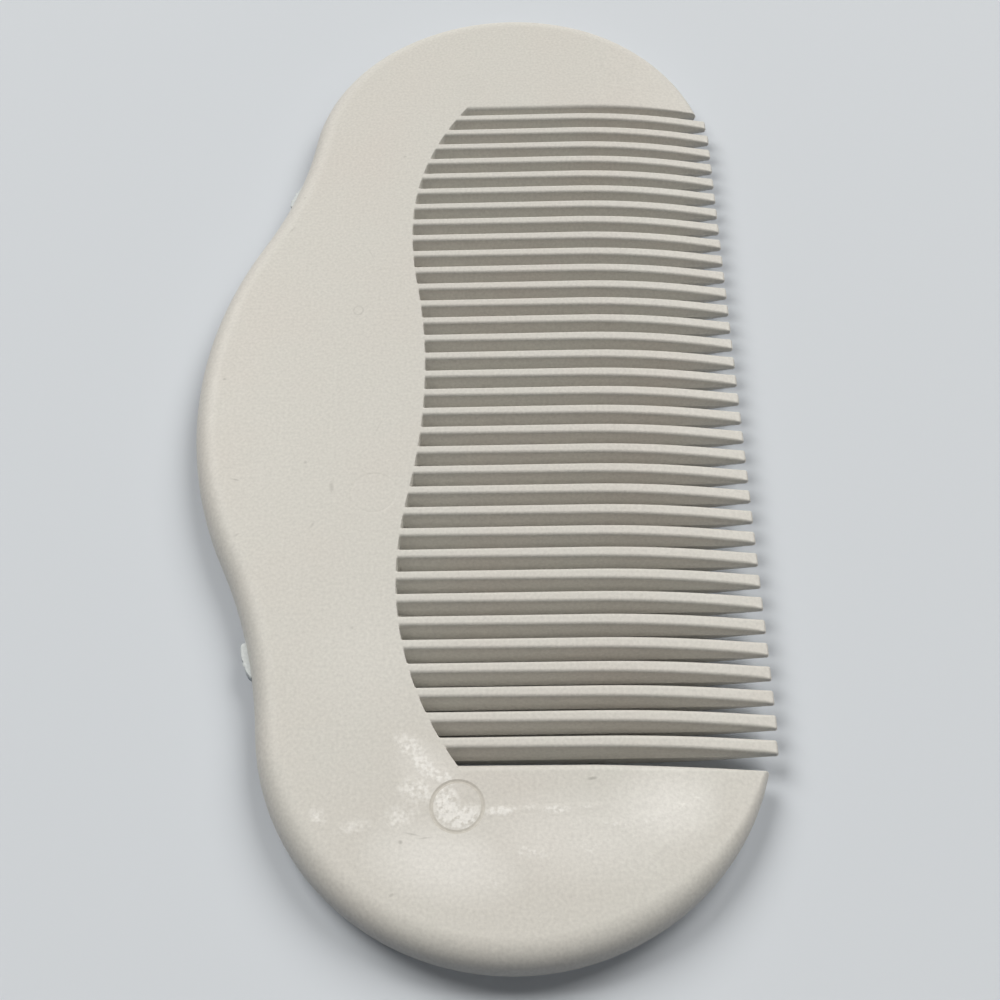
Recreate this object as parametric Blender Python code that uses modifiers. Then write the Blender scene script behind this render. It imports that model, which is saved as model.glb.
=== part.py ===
"""Pocket comb: a broad wavy back with an end guard at each end and a row of thinning teeth.

Lengths are in metres. +X runs from the back to the tooth tips, +Y along the comb and +Z up.
The origin is the middle of the comb's footprint, on the surface that the comb lies on.
"""

import math

import bmesh
import bpy
from mathutils import Matrix, Vector

# Overall sizes. The length follows from the row of teeth and the two lobes.
THICKNESS = 0.0039
WIDTH = 0.0498  # from the bulge of the back to the tooth tips

# Plan of the back: a bulge in the middle, a lobe at each end and a hollow between them.
BULGE_RADIUS = 0.0406
HOLLOW_RADIUS = 0.0442
LOBE_RADIUS = 0.0206
LOBE_SETBACK = 0.00025  # from the foremost reach of a lobe's circle to the line of the tips
LOBE_INSET = 0.0054  # from a guard's face to the centre of its lobe
RIM_LAND = 0.0002  # the outer rim is round, but for this narrow land at the parting plane

# Row of teeth. A tooth is hexagonal in section, widest at a ridge on the parting plane.
TOOTH_COUNT = 34
TOOTH_PITCH = 0.0021
TOOTH_LENGTH = 0.02865  # at the middle of the row
ROW_SHIFT = 0.00025  # how far the row stands off the middle of the back, towards +Y
ROOT_GAP = 0.00046  # between the ridges of two teeth, at their roots
TIP_GAP = 0.00078  # the same at their tips
ROOT_LEAN = 0.00046  # how far a flank leans out from the upper face to the ridge, at the root
TIP_LEAN = 0.00014  # the same at the tip
TIP_THICKNESS = 0.00045
END_SETBACK = 0.00015  # how far the tips of the two outermost teeth stand behind the others
TOOTH_CHAMFER = 0.00016
CROWN_LENGTH = 0.0145  # the stretch, back from the tips, over which teeth and guards thin
ROOT_SEAM = 0.0003  # from a tooth's root to the back
GUARD_GAP = 0.00053  # from an outermost tooth's ridge to its guard, at the mean of the two ends
GUARD_LEAN = 0.0002  # how far a guard's face leans back from there to the upper face
GUARD_SPLAY = 0.00035  # how far a guard's face turns away from the teeth where the comb thins

# Root line, which waves like the outline: a crest in the middle and a valley on each side.
CREST_RADIUS = 0.066
VALLEY_INNER_RADIUS = 0.0413
VALLEY_OUTER_RADIUS = 0.0293
VALLEY_OFFSET = 0.0195  # from the middle of the comb to the deepest point of a valley

# Round marks of the ejector pins, sunk in the upper face.
MARK_RADIUS = 0.002
MARK_DEPTH = 0.00012
OUTER_MARK_SETBACK = 0.0033  # from a guard's face to the centre of its mark
INNER_MARK_SETBACK = 0.0031  # from the root line to the centre of an inner mark
INNER_MARK_OFFSET = 0.0118  # from the middle of the row

# Stubs of the two gates, torn off in the hollows at the parting plane.
GATE_WIDTH = 0.0034
GATE_HEIGHT = 0.0011
GATE_ROOT = 0.0012  # how deep a stub's block is set into the rim
NEAR_STUB = 0.0005
FAR_STUB = 0.0003
GATE_PLACE_SHARE = 0.58  # along the hollow's arc, from the bulge to the lobe

# Cutters run past what they cut by this much, and points nearer than the weld are one point.
OVERRUN = 0.002
WELD = 0.000002

# Steps of the arcs. They set how fine the facets are.
LOBE_STEPS = 17
HOLLOW_STEPS = 5
BULGE_STEPS = 7
RIM_STEPS = 4
CROWN_STEPS = 5
ROOT_LINE_STEPS = 34
MARK_STEPS = 24

# Faces nearer in angle than the first are one face, and edges sharper than the second are eased.
FLAT_ANGLE = math.radians(0.1)
SHARP_ANGLE = math.radians(45.0)

PLASTIC_COLOUR = (0.75, 0.72, 0.66, 1.0)
PLASTIC_ROUGHNESS = 0.42

HALF_THICKNESS = THICKNESS / 2
TIP_X = WIDTH / 2
ROW_HALF = (TOOTH_COUNT - 1) * TOOTH_PITCH / 2
GUARD_Y = ROW_HALF + (TOOTH_PITCH - ROOT_GAP) / 2 + GUARD_GAP
GUARD_TOP_Y = GUARD_Y + GUARD_LEAN
LOBE_CENTRE = Vector((TIP_X - LOBE_SETBACK - LOBE_RADIUS, GUARD_TOP_Y - LOBE_INSET))
BULGE_CENTRE = Vector((BULGE_RADIUS - WIDTH / 2, 0))
CROWN_X = TIP_X - CROWN_LENGTH
CROWN_FALL = (THICKNESS - TIP_THICKNESS) / 2
CROWN_RADIUS = (CROWN_LENGTH**2 + CROWN_FALL**2) / (2 * CROWN_FALL)


def sagitta(radius, half_chord):
    """How far an arc of this radius falls at this distance from its middle."""
    return radius - math.sqrt(radius**2 - half_chord**2)


def half_thickness_at(x):
    """Height of the upper face over the parting plane."""
    return HALF_THICKNESS - sagitta(CROWN_RADIUS, max(x - CROWN_X, 0))


def root_x(y):
    """Place of the root line at a distance y along the comb. It is centred on the row of teeth."""
    along = abs(y - ROW_SHIFT)
    turn = VALLEY_OFFSET * CREST_RADIUS / (CREST_RADIUS + VALLEY_INNER_RADIUS)
    crest = TIP_X - TOOTH_LENGTH
    valley = crest - sagitta(CREST_RADIUS, turn) - sagitta(VALLEY_INNER_RADIUS, VALLEY_OFFSET - turn)
    if along < turn:
        return crest - sagitta(CREST_RADIUS, along)
    radius = VALLEY_INNER_RADIUS if along < VALLEY_OFFSET else VALLEY_OUTER_RADIUS
    return valley + sagitta(radius, along - VALLEY_OFFSET)


def arc(centre, radius, start, end, steps):
    """Points along an arc between two angles, both ends included."""
    angles = (start + (end - start) * step / steps for step in range(steps + 1))
    return [centre + radius * Vector((math.cos(angle), math.sin(angle))) for angle in angles]


def bearing(origin, target):
    """Angle from +X of the line between two points of the plan."""
    return math.atan2(target.y - origin.y, target.x - origin.x)


def hollow_centre():
    """Centre of the arc that touches both the bulge and the far lobe from outside."""
    between = LOBE_CENTRE - BULGE_CENTRE
    to_bulge = BULGE_RADIUS + HOLLOW_RADIUS
    to_lobe = LOBE_RADIUS + HOLLOW_RADIUS
    along = (to_bulge**2 - to_lobe**2 + between.length_squared) / (2 * between.length)
    across = math.sqrt(to_bulge**2 - along**2)
    direction = between.normalized()
    return BULGE_CENTRE + direction * along + direction.orthogonal() * across


def outline():
    """Plan of the back with the row of teeth filled in, counter-clockwise."""
    hollow = hollow_centre()
    quarter = math.pi / 2
    to_lobe = bearing(hollow, LOBE_CENTRE)
    to_bulge = bearing(hollow, BULGE_CENTRE)
    upper = arc(LOBE_CENTRE, LOBE_RADIUS, 0, quarter, LOBE_STEPS)
    upper += arc(LOBE_CENTRE, LOBE_RADIUS, quarter, to_lobe + math.pi, LOBE_STEPS)[1:]
    upper += arc(hollow, HOLLOW_RADIUS, to_lobe, to_bulge, HOLLOW_STEPS)[1:]
    upper += arc(BULGE_CENTRE, BULGE_RADIUS, to_bulge + math.pi, math.pi, BULGE_STEPS)[1:]
    lower = [Vector((point.x, -point.y)) for point in reversed(upper[:-1])]
    return upper + lower


def plastic(name):
    """White moulded plastic, one material for each piece."""
    material = bpy.data.materials.new(name + "_plastic")
    material.use_nodes = True
    shader = material.node_tree.nodes["Principled BSDF"]
    shader.inputs["Base Color"].default_value = PLASTIC_COLOUR
    shader.inputs["Roughness"].default_value = PLASTIC_ROUGHNESS
    shader.inputs["Metallic"].default_value = 0.0
    return material


def place(bm, name, collection):
    """Turns a bmesh into an object whose origin lies in the parting plane."""
    bmesh.ops.recalc_face_normals(bm, faces=bm.faces)
    mesh = bpy.data.meshes.new(name)
    bm.to_mesh(mesh)
    bm.free()
    obj = bpy.data.objects.new(name, mesh)
    obj.location.z = HALF_THICKNESS
    collection.objects.link(obj)
    return obj


def as_cutter(obj):
    """Marks a helper that only cuts or joins."""
    obj.hide_render = True
    obj.display_type = "WIRE"
    return obj


def extruded(name, points, half_depth, collection):
    """A flat outline, drawn as a curve, given its depth and made a mesh with whole end faces."""
    curve = bpy.data.curves.new(name, "CURVE")
    curve.dimensions = "2D"
    curve.fill_mode = "BOTH"
    curve.extrude = half_depth
    spline = curve.splines.new("POLY")
    spline.points.add(len(points) - 1)
    for target, point in zip(spline.points, points):
        target.co = (point.x, point.y, 0, 1)
    spline.use_cyclic_u = True
    drawn = bpy.data.objects.new(name + "_outline", curve)
    collection.objects.link(drawn)
    evaluated = drawn.evaluated_get(bpy.context.evaluated_depsgraph_get())
    mesh = bpy.data.meshes.new_from_object(evaluated)
    bpy.data.objects.remove(drawn)
    bm = bmesh.new()
    bm.from_mesh(mesh)
    bpy.data.meshes.remove(mesh)
    bmesh.ops.remove_doubles(bm, verts=bm.verts, dist=WELD)
    bmesh.ops.dissolve_limit(bm, angle_limit=FLAT_ANGLE, verts=bm.verts, edges=bm.edges)
    return bm


def boolean(obj, operation, other):
    """Adds an exact Boolean to an object."""
    modifier = obj.modifiers.new(operation.title() + " " + other.name, "BOOLEAN")
    modifier.operation = operation
    modifier.solver = "EXACT"
    modifier.object = other


def mirrored_down(bm):
    """Adds the same shape below the parting plane."""
    half = bm.verts[:] + bm.edges[:] + bm.faces[:]
    bmesh.ops.mirror(bm, geom=half, matrix=Matrix(), axis="Z", merge_dist=WELD)


def tooth_field(collection):
    """The space that the row of teeth stands in, narrowest at the parting plane."""
    reach = HALF_THICKNESS + OVERRUN
    lean = GUARD_LEAN * reach / HALF_THICKNESS
    far_x = TIP_X + OVERRUN
    far_y = GUARD_Y + GUARD_SPLAY * (far_x - CROWN_X) / CROWN_LENGTH
    shares = [2 * step / ROOT_LINE_STEPS - 1 for step in range(ROOT_LINE_STEPS + 1)]
    root = [(root_x(share * GUARD_Y), share * GUARD_Y) for share in shares]
    plan_points = [(far_x, -far_y), (CROWN_X, -GUARD_Y)] + root + [(CROWN_X, GUARD_Y), (far_x, far_y)]
    bm = bmesh.new()
    ring = [bm.verts.new((x, y, 0)) for x, y in plan_points]
    plan = bm.faces.new(ring)
    raised = bmesh.ops.extrude_face_region(bm, geom=[plan], use_keep_orig=True)["geom"]
    bm.faces.remove(plan)
    for vertex in (item for item in raised if isinstance(item, bmesh.types.BMVert)):
        vertex.co.z = reach
        if abs(vertex.co.y) > GUARD_Y - WELD:
            vertex.co.y += math.copysign(lean, vertex.co.y)
    bmesh.ops.connect_verts_nonplanar(bm, angle_limit=FLAT_ANGLE, faces=bm.faces)
    mirrored_down(bm)
    return as_cutter(place(bm, "tooth_field", collection))


def crown_cutter(collection):
    """What is cut off above and below, where the guards thin towards the tips."""
    steps = range(CROWN_STEPS + 1)
    places = [CROWN_X + CROWN_LENGTH * step / CROWN_STEPS for step in steps]
    profile = [Vector((x, half_thickness_at(x))) for x in places]
    far_x = TIP_X + OVERRUN
    reach = HALF_THICKNESS + OVERRUN
    profile += [Vector((far_x, TIP_THICKNESS / 2)), Vector((far_x, reach)), Vector((CROWN_X, reach))]
    bm = extruded("crown_cutter", profile, LOBE_CENTRE.y + LOBE_RADIUS + OVERRUN, collection)
    bmesh.ops.rotate(bm, verts=bm.verts, matrix=Matrix.Rotation(math.pi / 2, 3, "X"))
    mirrored_down(bm)
    return as_cutter(place(bm, "crown_cutter", collection))


def mark_cutter(x, y, name, collection):
    """A round sink in the upper face."""
    bm = bmesh.new()
    depth = MARK_DEPTH + OVERRUN
    bmesh.ops.create_cone(
        bm, cap_ends=True, segments=MARK_STEPS, radius1=MARK_RADIUS, radius2=MARK_RADIUS, depth=depth
    )
    bmesh.ops.translate(bm, verts=bm.verts, vec=(x, y, HALF_THICKNESS - MARK_DEPTH + depth / 2))
    return as_cutter(place(bm, name, collection))


def gate_stub(side, proud, name, collection):
    """A torn gate in the hollow on one side, set square to the rim."""
    hollow = hollow_centre()
    to_lobe = bearing(hollow, LOBE_CENTRE)
    to_bulge = bearing(hollow, BULGE_CENTRE)
    angle = side * (to_bulge + (to_lobe - to_bulge) * GATE_PLACE_SHARE)
    inward = Vector((math.cos(angle), math.sin(angle), 0))
    on_rim = Vector((hollow.x, side * hollow.y, 0)) + inward * HOLLOW_RADIUS
    bm = bmesh.new()
    bmesh.ops.create_cube(bm, size=1)
    bmesh.ops.scale(bm, verts=bm.verts, vec=(GATE_ROOT + proud, GATE_WIDTH, GATE_HEIGHT))
    bmesh.ops.rotate(bm, verts=bm.verts, matrix=Matrix.Rotation(angle, 3, "Z"))
    bmesh.ops.translate(bm, verts=bm.verts, vec=on_rim + inward * (GATE_ROOT - proud) / 2)
    return as_cutter(place(bm, name, collection))


def make_back(parts, cutters):
    """The back with its lobes and end guards, as one C-shaped piece."""
    back = place(extruded("back", outline(), HALF_THICKNESS, cutters), "back", parts)
    rim = back.modifiers.new("Round rim", "BEVEL")
    rim.width = HALF_THICKNESS - RIM_LAND / 2
    rim.segments = RIM_STEPS
    rim.limit_method = "ANGLE"
    rim.angle_limit = SHARP_ANGLE
    boolean(back, "DIFFERENCE", tooth_field(cutters))
    boolean(back, "DIFFERENCE", crown_cutter(cutters))
    inner_x = root_x(ROW_SHIFT + INNER_MARK_OFFSET) - INNER_MARK_SETBACK
    outer_x = root_x(-GUARD_TOP_Y)
    outer_y = GUARD_TOP_Y + OUTER_MARK_SETBACK
    for side, word, proud in ((-1, "near", NEAR_STUB), (1, "far", FAR_STUB)):
        inner_y = ROW_SHIFT + side * INNER_MARK_OFFSET
        inner = mark_cutter(inner_x, inner_y, word + "_inner_mark", cutters)
        boolean(back, "DIFFERENCE", inner)
        outer = mark_cutter(outer_x, side * outer_y, word + "_outer_mark", cutters)
        boolean(back, "DIFFERENCE", outer)
        boolean(back, "UNION", gate_stub(side, proud, word + "_stub", cutters))
    return back


def tooth_point(middle, tip, unit):
    """Place of a point of the unit tooth, whose x and y run from -1 to 1 and z from -1 to 0."""
    station = round((unit.x + 1) / 2 * (CROWN_STEPS + 1))
    root = root_x(middle)
    x = CROWN_X + (tip - CROWN_X) * (station - 1) / CROWN_STEPS if station else root
    along = (x - root) / (tip - root)
    ridge = (TOOTH_PITCH - ROOT_GAP - (TIP_GAP - ROOT_GAP) * along) / 2
    lean = ROOT_LEAN + (TIP_LEAN - ROOT_LEAN) * along
    if unit.z < 0:
        y = middle + unit.y * ridge
        return Vector((x if station else root_x(y) + ROOT_SEAM, y, 0))
    y = middle + unit.y * (ridge - lean)
    return Vector((x if station else root_x(y) + ROOT_SEAM, y, half_thickness_at(x)))


def make_tooth(number, parts):
    """One tooth: its upper half is shaped from a grid with a skirt, and mirrored down."""
    bm = bmesh.new()
    bmesh.ops.create_grid(bm, x_segments=CROWN_STEPS + 1, y_segments=1, size=1)
    around = [edge for edge in bm.edges if edge.is_boundary]
    skirt = bmesh.ops.extrude_edge_only(bm, edges=around)["geom"]
    lowered = [item for item in skirt if isinstance(item, bmesh.types.BMVert)]
    bmesh.ops.translate(bm, verts=lowered, vec=(0, 0, -1))
    middle = ROW_SHIFT - ROW_HALF + (number - 1) * TOOTH_PITCH
    tip = TIP_X - END_SETBACK if number in (1, TOOTH_COUNT) else TIP_X
    for vertex in bm.verts:
        vertex.co = tooth_point(middle, tip, vertex.co)
    mirrored_down(bm)
    tooth = place(bm, f"tooth_{number:02d}", parts)
    bevel = tooth.modifiers.new("Soft edges", "BEVEL")
    bevel.width = TOOTH_CHAMFER
    bevel.segments = 1
    bevel.limit_method = "ANGLE"
    bevel.angle_limit = SHARP_ANGLE
    return tooth


def new_collection(name):
    """A collection in the scene."""
    collection = bpy.data.collections.new(name)
    bpy.context.scene.collection.children.link(collection)
    return collection


def main():
    """Clears the scene and builds the comb."""
    for obj in list(bpy.data.objects):
        bpy.data.objects.remove(obj)
    parts = new_collection("pocket_comb")
    cutters = new_collection("cutters")
    pieces = [make_back(parts, cutters)]
    pieces += [make_tooth(number, parts) for number in range(1, TOOTH_COUNT + 1)]
    for piece in pieces:
        piece.data.materials.append(plastic(piece.name))


main()
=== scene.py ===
"""Pocket comb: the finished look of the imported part, built round its CAD frame.

The comb is one moulding, so one mesh stands for the back and all the teeth, and two torn stubs mark
its gates. Sizes are in millimetres, and the meshes are drawn about the parting plane. Each half of the
moulding has its own frame, in which it lies on the positive side of Y. The finished meshes are scaled
to metres and lifted onto the floor.
"""

from __future__ import annotations

import logging
import math
from dataclasses import dataclass
from enum import Enum
from typing import Protocol

import bmesh
import bpy
from mathutils import Matrix, Vector, noise


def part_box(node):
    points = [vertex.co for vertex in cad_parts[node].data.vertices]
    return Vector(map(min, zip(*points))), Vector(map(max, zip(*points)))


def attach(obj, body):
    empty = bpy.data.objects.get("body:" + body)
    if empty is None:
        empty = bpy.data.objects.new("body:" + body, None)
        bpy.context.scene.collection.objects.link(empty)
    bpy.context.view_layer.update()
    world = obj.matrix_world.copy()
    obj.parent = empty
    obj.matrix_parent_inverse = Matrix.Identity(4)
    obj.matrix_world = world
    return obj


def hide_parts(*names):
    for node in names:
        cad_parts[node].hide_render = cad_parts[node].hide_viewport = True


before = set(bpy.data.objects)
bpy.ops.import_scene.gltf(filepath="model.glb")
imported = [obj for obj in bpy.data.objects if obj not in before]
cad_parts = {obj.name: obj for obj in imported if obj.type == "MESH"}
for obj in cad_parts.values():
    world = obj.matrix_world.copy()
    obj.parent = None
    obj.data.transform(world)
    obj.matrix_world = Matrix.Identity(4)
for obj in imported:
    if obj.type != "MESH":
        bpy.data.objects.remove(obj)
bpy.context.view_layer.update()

LOG = logging.getLogger("pocket_comb")

METRES = 0.001  # one millimetre of the sizes below
WELD = 0.001  # points nearer than this are one point

EDGE_LEVEL = 10  # rings from the parting plane, level 0, up to the edge of the upper face
INNER_LEVEL = 11  # one ring more, just inside that edge, which keeps the upper face's shading flat
BEND_LEVEL = 3  # ring at which the round upper edge of a wall beside a slot starts

SKIN_SLOT, DISC_SLOT, GROOVE_SHADE_SLOT = 0, 1, 2  # the moulding's material slots; the last holds the groove's darker finish, painted shade

FACE_HEIGHT = 3.9  # the upper face over the floor, where the finish has its marks
PATCH_DEPTH = 1.0  # how far a mark in the finish reaches up or down from there
RING_LINE = 0.8  # where the middle of a ring lies between the middle and the edge of its oval


class Side(Enum):
    """The two ends of the comb, and the two sides of a tooth, as signs along Y."""

    NEAR = -1
    FAR = 1


def millimetres(node: str) -> tuple[Vector, Vector]:
    """Lowest and highest corners of a CAD node, in millimetres."""
    low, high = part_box(node)
    return Vector(low) / METRES, Vector(high) / METRES


def blend(first: float, last: float, share: float) -> float:
    """The value at a share of the way from first to last."""
    return first + (last - first) * share


def sagitta(radius: float, half_chord: float) -> float:
    """How far an arc of this radius falls at this distance from its middle."""
    return radius - math.sqrt(radius**2 - half_chord**2)


# Shape of the moulding.


@dataclass(frozen=True)
class Crown:
    """Thickness of the comb: level over the back, thinning on an arc towards the tips.

    Attributes:
        half_thickness: From the parting plane to the upper face of the back.
        tip_x: Line of the tooth tips.
        tip_half: From the parting plane to the upper face at the tips.
        length: The stretch, back from the tips, over which the comb thins.
    """

    half_thickness: float
    tip_x: float
    tip_half: float = 0.225
    length: float = 14.5

    @property
    def start_x(self) -> float:
        """Where the comb starts to thin."""
        return self.tip_x - self.length

    @property
    def radius(self) -> float:
        """Radius of the arc."""
        fall = self.half_thickness - self.tip_half
        return (self.length**2 + fall**2) / (2 * fall)

    def height(self, x: float) -> float:
        """Height of the upper face over the parting plane at a place across the comb."""
        return self.half_thickness - sagitta(self.radius, max(x - self.start_x, 0.0))


@dataclass(frozen=True)
class Section:
    """Sections of the comb's walls, from the parting plane up to the edge of the upper face.

    Attributes:
        crown: Thickness of the comb.
        rim_share: Depth of the round outer rim, as a share of the height.
        flash: How far the parting line stands out.
        flash_height: Half its height.
        rim_flash_share: Largest share of a rim's height that the flash takes.
        wall_flash_share: The same for a wall beside a slot.
        round_share: Largest share of the height that an edge's radius takes.
        margin: From the edge of the upper face to the ring inside it.
    """

    crown: Crown
    rim_share: float = 1.13
    flash: float = 0.03
    flash_height: float = 0.05
    rim_flash_share: float = 0.5
    wall_flash_share: float = 0.25
    round_share: float = 0.7
    margin: float = 0.05

    def rim(self, level: int, x: float) -> tuple[float, float]:
        """Section of the outer rim, a quarter of an ellipse over the parting line.

        Args:
            level: Ring, from 0 to INNER_LEVEL.
            x: Place across the comb.

        Returns:
            Inset from the outline, and height over the parting plane.
        """
        height = self.crown.height(x)
        depth = self.rim_share * height
        if level == 0:
            return 0.0, 0.0
        if level > EDGE_LEVEL:
            return depth + self.margin, height
        lowest = math.asin(min(self.flash_height / height, self.rim_flash_share))
        turn = blend(lowest, math.pi / 2, (level - 1) / (EDGE_LEVEL - 1))
        return self.flash + (depth - self.flash) * (1 - math.cos(turn)), height * math.sin(turn)

    def wall(self, level: int, x: float, lean: float, radius: float) -> tuple[float, float]:
        """Section of a leaning wall with a round upper edge.

        Args:
            level: Ring, from 0 to INNER_LEVEL.
            x: Place across the comb.
            lean: How far the wall leans back over its whole height.
            radius: Radius of its upper edge.

        Returns:
            Inset from the foot of the wall, and height over the parting plane.
        """
        height = self.crown.height(x)
        radius = min(radius, self.round_share * height)
        slope = math.atan2(lean - self.flash, height)
        tangent = radius * math.tan((math.pi / 2 - slope) / 2)
        if level == 0:
            return 0.0, 0.0
        if level > EDGE_LEVEL:
            return lean + tangent + self.margin, height
        if level == 1:
            rise = min(self.flash_height, height * self.wall_flash_share)
            return self.flash + rise * math.tan(slope), rise
        if level < BEND_LEVEL:
            foot = self.wall(1, x, lean, radius)
            bend = self.wall(BEND_LEVEL, x, lean, radius)
            return (foot[0] + bend[0]) / 2, (foot[1] + bend[1]) / 2
        turn = blend(slope, math.pi / 2, (level - BEND_LEVEL) / (EDGE_LEVEL - BEND_LEVEL))
        inset = lean + tangent - radius * math.cos(turn)
        return inset, height - radius + radius * math.sin(turn)


@dataclass(frozen=True)
class RootLine:
    """Line of the slots' ends: a crest in the middle of the comb and a valley on each side.

    Attributes:
        crest_x: Place of the crest across the comb.
        middle: Place of the crest along the comb, which is the middle of the row of teeth.
        crest_radius: Radius of the crest.
        inner_radius: Radius of a valley on the side of the crest.
        outer_radius: Radius of a valley on the side of the guard.
        valley: From the crest to the deepest point of a valley.
    """

    crest_x: float
    middle: float
    crest_radius: float = 66.0
    inner_radius: float = 41.3
    outer_radius: float = 29.3
    valley: float = 19.5

    def x(self, y: float) -> float:
        """Place of the line across the comb.

        Args:
            y: Place along the comb.

        Returns:
            Where the line lies there.
        """
        away = abs(y - self.middle)
        turn = self.valley * self.crest_radius / (self.crest_radius + self.inner_radius)
        if away < turn:
            return self.crest_x - sagitta(self.crest_radius, away)
        fall = sagitta(self.crest_radius, turn) + sagitta(self.inner_radius, self.valley - turn)
        radius = self.inner_radius if away < self.valley else self.outer_radius
        return self.crest_x - fall + sagitta(radius, away - self.valley)


class Wall(Protocol):
    """A wall beside a slot."""

    def edge(self, level: int, x: float) -> tuple[float, float]:
        """Place along the comb, and height, of one ring of the wall at a place x."""


class RingPoint(Protocol):
    """One point of the plan, which has a place on every ring."""

    def at(self, level: int) -> Vector:
        """Place of the point on one ring."""


@dataclass(frozen=True)
class ToothFlank:
    """One flank of a tooth.

    Attributes:
        section: Sections of the comb's walls.
        middle: Place of the tooth along the comb.
        side: Which flank it is.
        root_x: Where the tooth starts.
        tip_x: Where it ends.
        root_half: Half its width at the parting plane, at the root.
        tip_half: The same at the tip.
        root_lean: How far the flank leans in from there to the upper face, at the root.
        tip_lean: The same at the tip.
        radius: Radius of the upper edge.
    """

    section: Section
    middle: float
    side: Side
    root_x: float
    tip_x: float
    root_half: float = 0.82
    tip_half: float = 0.66
    root_lean: float = 0.42
    tip_lean: float = 0.10
    radius: float = 0.30

    def edge(self, level: int, x: float) -> tuple[float, float]:
        """One ring of the flank at a place across the comb.

        Args:
            level: Ring, from 0 to INNER_LEVEL.
            x: Place across the comb.

        Returns:
            Place along the comb, and height over the parting plane.
        """
        along = (x - self.root_x) / (self.tip_x - self.root_x)
        lean = blend(self.root_lean, self.tip_lean, along)
        inset, rise = self.section.wall(level, x, lean, self.radius)
        return self.middle + self.side.value * (blend(self.root_half, self.tip_half, along) - inset), rise


@dataclass(frozen=True)
class GuardFace:
    """The face of an end guard beside the last tooth.

    Attributes:
        section: Sections of the comb's walls.
        y: Place of the face along the comb, at the parting plane.
        lean: How far it leans back from there to the upper face.
        splay: How far it turns away from the teeth where the comb thins.
        radius: Radius of the upper edge, which shrinks as the comb thins.
    """

    section: Section
    y: float
    lean: float
    radius: float
    splay: float = 0.35

    def edge(self, level: int, x: float) -> tuple[float, float]:
        """One ring of the face at a place across the comb.

        Args:
            level: Ring, from 0 to INNER_LEVEL.
            x: Place across the comb.

        Returns:
            Place along the comb, and height over the parting plane.
        """
        crown = self.section.crown
        share = crown.height(x) / crown.half_thickness
        lean = blend(self.section.flash, self.lean, share)
        inset, rise = self.section.wall(level, x, lean, self.radius * share)
        away = self.splay * max(x - crown.start_x, 0.0) / crown.length
        return self.y + away + inset, rise


@dataclass(frozen=True)
class WallPoint:
    """A point of a wall beside a slot, at one place across the comb."""

    wall: Wall
    x: float

    def at(self, level: int) -> Vector:
        """Place of the point on one ring."""
        y, rise = self.wall.edge(level, self.x)
        return Vector((self.x, y, rise))


@dataclass(frozen=True)
class SlotCorner:
    """A point of the small round corner between a wall and the end of its slot.

    Attributes:
        wall: The wall.
        root: Line of the slots' ends.
        section: Sections of the comb's walls.
        middle: Place of the wall's tooth, or of the guard's face, along the comb.
        towards: The side of the wall on which the slot lies.
        turn: From 0, on the wall, to a quarter turn, on the slot's end.
        radius: Radius of the corner.
        end_lean: How far the slot's end leans back over its height.
        end_radius: Radius of its upper edge.
    """

    wall: Wall
    root: RootLine
    section: Section
    middle: float
    towards: Side
    turn: float
    radius: float = 0.12
    end_lean: float = 0.08
    end_radius: float = 0.10

    def at(self, level: int) -> Vector:
        """Place of the point on one ring.

        Args:
            level: Ring, from 0 to INNER_LEVEL.

        Returns:
            Its place about the parting plane.
        """
        share = self.turn / (math.pi / 2)
        wall_y, wall_rise = self.wall.edge(level, self.root.x(self.middle))
        inset, end_rise = self.section.wall(level, self.root.x(self.middle), self.end_lean, self.end_radius)
        y = wall_y + self.towards.value * self.radius * (1 - math.cos(self.turn))
        x = self.root.x(y) - inset + self.radius * (1 - math.sin(self.turn))
        return Vector((x, y, blend(wall_rise, end_rise, share)))


@dataclass(frozen=True)
class SlotEnd:
    """The middle point of a slot's end, between the last points of its two corners."""

    before: RingPoint
    after: RingPoint
    root: RootLine

    def at(self, level: int) -> Vector:
        """Place of the point on one ring.

        Args:
            level: Ring, from 0 to INNER_LEVEL.

        Returns:
            Its place about the parting plane.
        """
        first, last = self.before.at(level), self.after.at(level)
        y = (first.y + last.y) / 2
        bow = self.root.x(y) - (self.root.x(first.y) + self.root.x(last.y)) / 2
        return Vector(((first.x + last.x) / 2 + bow, y, (first.z + last.z) / 2))


@dataclass(frozen=True)
class TipCorner:
    """A point of the round corner between a tooth's flank and its blunt end.

    Attributes:
        flank: The flank.
        turn: From 0, on the flank, to a quarter turn, on the blunt end.
        radius: Radius of the corner at the parting plane.
        end_lean: How far the end leans back over its height.
    """

    flank: ToothFlank
    turn: float
    radius: float = 0.24
    end_lean: float = 0.05

    def at(self, level: int) -> Vector:
        """Place of the point on one ring.

        Args:
            level: Ring, from 0 to INNER_LEVEL.

        Returns:
            Its place about the parting plane.
        """
        flank = self.flank
        inset = flank.section.wall(level, flank.tip_x, self.end_lean, flank.radius)[0]
        radius = self.radius * (1 - level / (2 * INNER_LEVEL))
        x = flank.tip_x - inset - radius * (1 - math.sin(self.turn))
        y = flank.edge(level, flank.tip_x)[0] - flank.side.value * radius * (1 - math.cos(self.turn))
        rise = flank.edge(level, x)[1]
        end_rise = flank.section.wall(level, x, self.end_lean, flank.radius)[1]
        return Vector((x, y, blend(rise, end_rise, self.turn / (math.pi / 2))))


@dataclass(frozen=True)
class RimPoint:
    """A point of the outer rim: its place on the outline and the direction into the comb."""

    section: Section
    place: Vector
    inward: Vector

    def at(self, level: int) -> Vector:
        """Place of the point on one ring.

        Args:
            level: Ring, from 0 to INNER_LEVEL.

        Returns:
            Its place about the parting plane.
        """
        inset = self.section.rim(level, self.place.x)[0]
        spot = self.place + self.inward * inset
        return Vector((spot.x, spot.y, self.section.rim(level, spot.x)[1]))


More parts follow.
